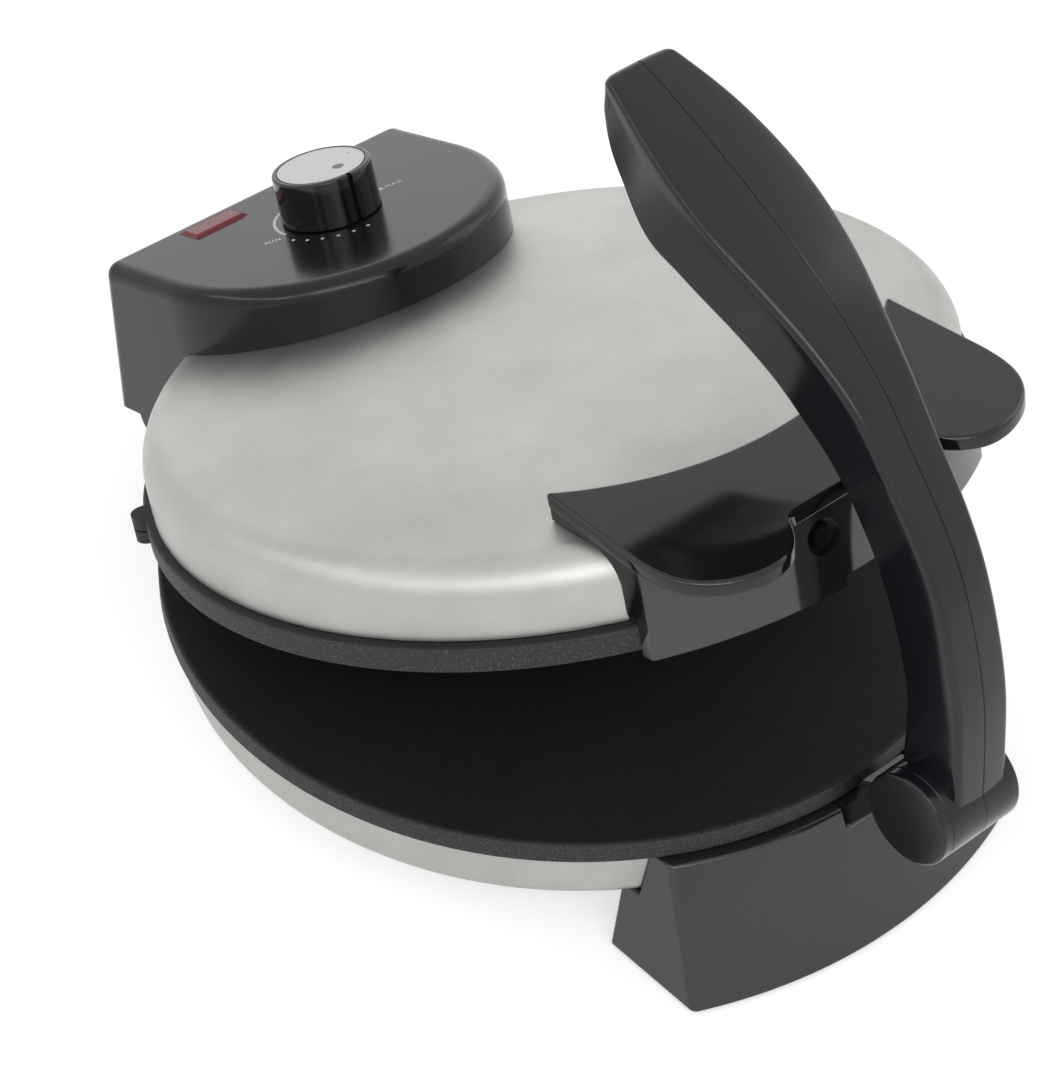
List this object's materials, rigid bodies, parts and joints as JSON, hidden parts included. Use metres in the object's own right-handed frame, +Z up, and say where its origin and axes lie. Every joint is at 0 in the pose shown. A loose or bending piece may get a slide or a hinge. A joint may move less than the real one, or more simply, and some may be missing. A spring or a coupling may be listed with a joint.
{
  "type": "electric roti maker",
  "caption": "Countertop flatbread press with hinged steel lid, coated heating plates, round thermostat knob and long swinging press lever.",
  "frame": {"origin": "centre of the footprint at the table, under the four foot pads", "axes": "+Z up, +Y towards the hinge at the back, +X to the right seen from the front"},
  "size_m": [0.232, 0.3004, 0.2213],
  "materials": {
    "satin_steel": "brushed satin",
    "plated_steel": "zinc plated",
    "dark_sheath": "heat darkened",
    "coated_plate": "non-stick coated casting",
    "satin_black": "satin",
    "gloss_black": "gloss",
    "silver_cap": "bright",
    "lamp_red": "translucent gloss",
    "black_rubber": "matt",
    "white_insulation": "matt"
  },
  "bodies": {
    "base": {"base_shell": "satin_steel", "bottom_cover": "plated_steel", "lower_plate": "coated_plate", "lower_heater": "dark_sheath", "lower_thermal_fuse": "white_insulation", "lower_reflector": "plated_steel", "front_foot": "satin_black", "rear_foot": "satin_black", "foot_pads": "black_rubber", "plate_screws": "plated_steel", "cover_screws": "plated_steel", "foot_screws": "plated_steel", "foot_nuts": "plated_steel", "hinge_pins": "plated_steel", "lever_pin": "plated_steel", "cord_gland": "black_rubber", "terminal_block": "white_insulation"},
    "lid": {"lid_cover": "satin_steel", "upper_plate": "coated_plate", "upper_heater": "dark_sheath", "upper_thermal_fuse": "white_insulation", "upper_reflector": "plated_steel", "lid_screws": "plated_steel", "control_housing": "satin_black", "housing_screws": "plated_steel", "lamp_lens": "lamp_red", "lamp_body": "white_insulation", "thermostat": "white_insulation", "thermostat_bracket": "plated_steel", "bracket_screws": "plated_steel", "front_handle": "gloss_black", "handle_screws": "plated_steel"},
    "knob": {"knob": "gloss_black", "knob_cap": "silver_cap", "thermostat_shaft": "plated_steel"},
    "lever": {"lever_left_shell": "satin_black", "lever_right_shell": "satin_black", "lever_pivot_cap": "gloss_black", "lever_screws": "plated_steel"}
  },
  "joints": [
    {"name": "lid_hinge", "type": "hinge", "parent": "base", "child": "lid", "pos_m": [0, 0.12915, 0.0455], "axis": [-1, 0, 0], "range_deg": [-16, 74]},
    {"name": "lever_swing", "type": "hinge", "parent": "base", "child": "lever", "pos_m": [0, -0.13685, 0.0617], "axis": [1, 0, 0], "range_deg": [-20, 92.5]},
    {"name": "knob_turn", "type": "hinge", "parent": "lid", "child": "knob", "pos_m": [0.0015, 0.11405, 0.10311], "axis": [0, 0.3233, 0.9463], "range_deg": [-110, 110]}
  ],
  "couplings": [
    {"joint": "lever_swing", "follows": "lid_hinge", "ratio": 1.25}
  ]
}
